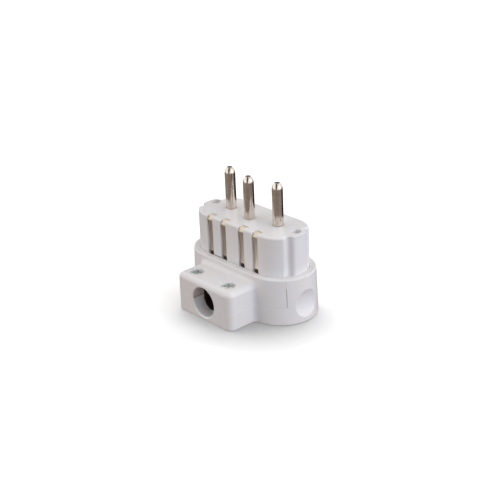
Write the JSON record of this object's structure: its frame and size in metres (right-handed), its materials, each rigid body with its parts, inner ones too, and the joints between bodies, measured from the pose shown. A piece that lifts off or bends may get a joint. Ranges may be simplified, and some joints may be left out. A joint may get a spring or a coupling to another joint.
{
  "type": "three-phase plug",
  "caption": "Angled three-phase mains plug: white round-ended base with a split cable box, and a raised nose with round metal pins and slotted side contacts.",
  "frame": {"origin": "on the flat underside of the base, below the centre of the nose", "axes": "+X along the long side of the nose, -Y towards the cable box, +Z along the pins, away from the base"},
  "size_m": [0.0666, 0.0462, 0.0582],
  "materials": {
    "white_housing": "moulded white thermoplastic, semi-gloss",
    "white_carrier": "moulded white insulating plastic, semi-gloss",
    "nickel_pin": "turned brass, bright nickel plate",
    "contact_spring": "stamped spring brass, dull nickel plate",
    "zinc_steel": "zinc-plated steel"
  },
  "bodies": {
    "root": {"base_shell": "white_housing", "cable_cover": "white_housing", "contact_carrier": "white_carrier", "phase_pin_left": "nickel_pin", "phase_pin_middle": "nickel_pin", "phase_pin_right": "nickel_pin", "neutral_contact": "contact_spring", "earth_contact": "contact_spring", "neutral_washer": "zinc_steel", "earth_washer": "zinc_steel", "terminal_screws": "zinc_steel", "carrier_screws": "zinc_steel", "cover_screws": "zinc_steel", "cover_nuts": "zinc_steel"}
  },
  "joints": []
}
